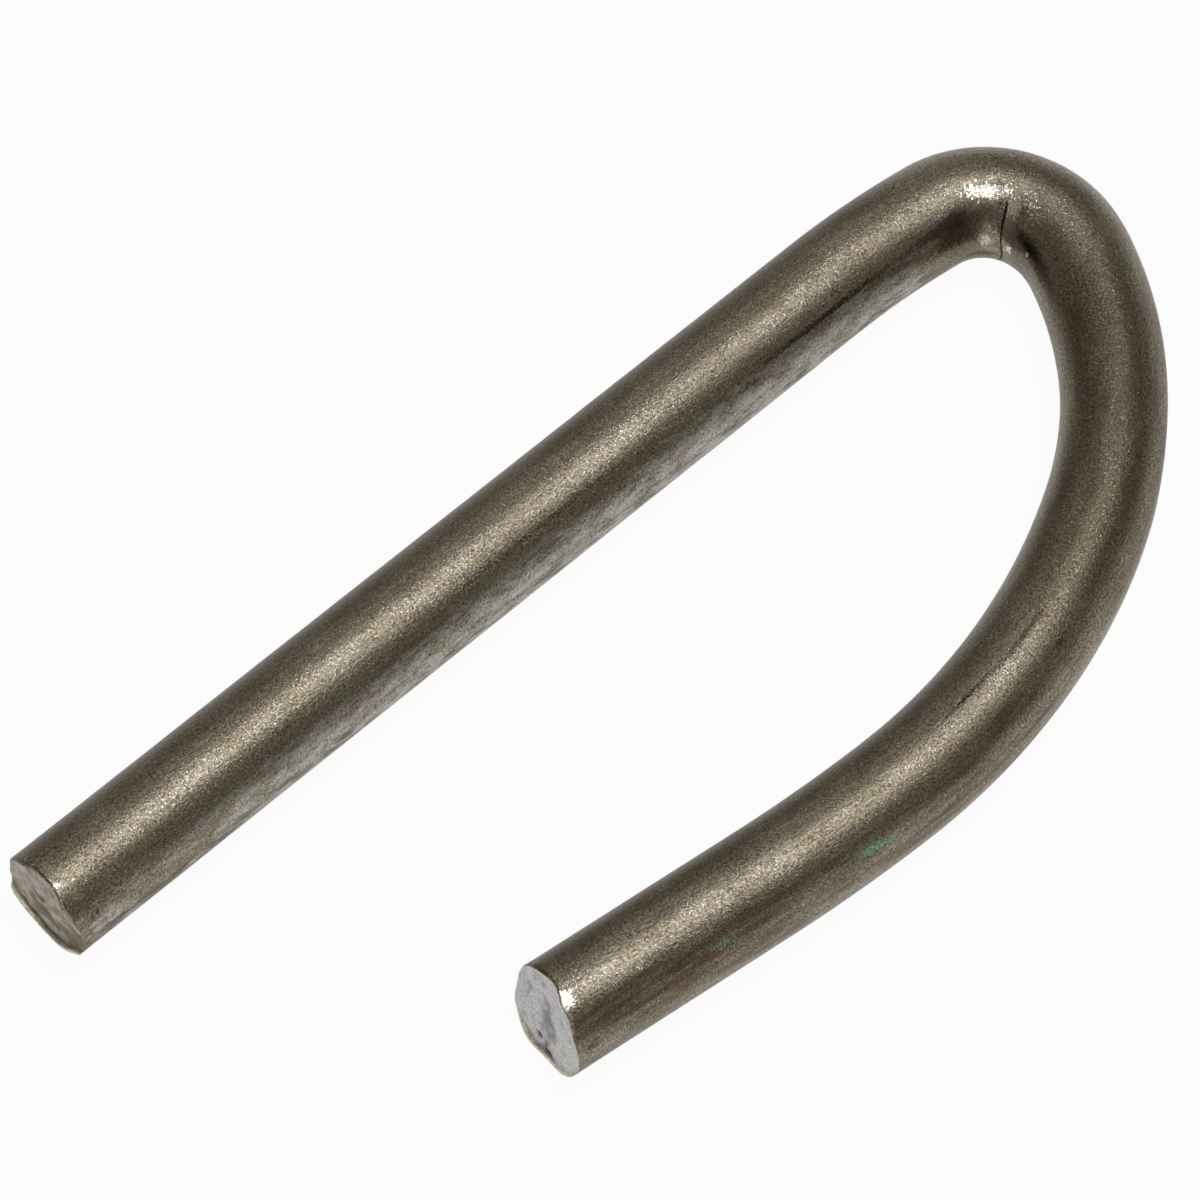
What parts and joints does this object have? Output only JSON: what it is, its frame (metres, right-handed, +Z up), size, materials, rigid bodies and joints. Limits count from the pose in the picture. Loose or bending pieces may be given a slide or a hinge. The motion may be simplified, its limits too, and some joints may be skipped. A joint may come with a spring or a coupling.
{
  "type": "hinge pin",
  "caption": "Bent steel hinge pin: a straight round shank for the hinge knuckles and a hooked return leg that keeps it from sliding out.",
  "frame": {"origin": "on the shank's axis at its free end", "axes": "+X along the shank, out of its free end; +Y towards the hooked leg; +Z up, square to the plane the rod is bent in"},
  "size_m": [0.0699, 0.0306, 0.006],
  "materials": {
    "steel": "dull drawn mild steel with thin dark oxide"
  },
  "bodies": {
    "root": {"hinge_pin": "steel"}
  },
  "joints": []
}
